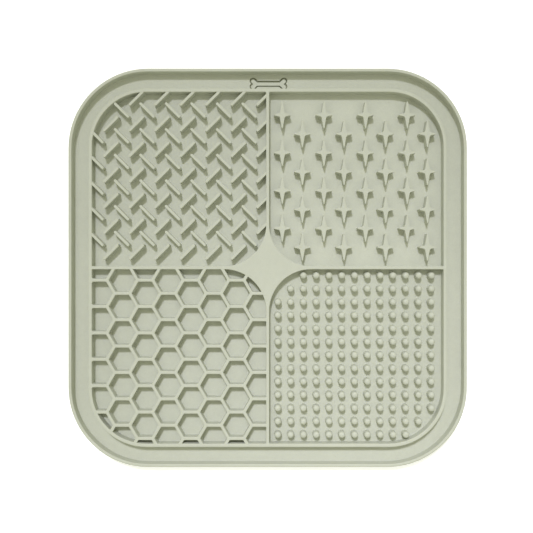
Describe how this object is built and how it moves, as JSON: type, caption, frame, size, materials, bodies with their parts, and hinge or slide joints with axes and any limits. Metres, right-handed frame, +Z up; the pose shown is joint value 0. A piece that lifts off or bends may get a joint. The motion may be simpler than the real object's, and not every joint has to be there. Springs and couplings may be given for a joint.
{
  "type": "lick mat",
  "caption": "Flat square silicone mat with a raised lip, a channel and textured compartments, spread with soft food for a pet to lick out.",
  "frame": {"origin": "middle of the flat underside, on the surface that the mat lies on", "axes": "+Z up through the mat's thickness, +Y towards the edge with the bone mark in its channel, +X to the right seen from above with that edge at the top"},
  "size_m": [0.2, 0.2, 0.007],
  "materials": {
    "silicone": "soft matt sage green silicone"
  },
  "bodies": {
    "root": {"lick_mat": "silicone"}
  },
  "joints": []
}
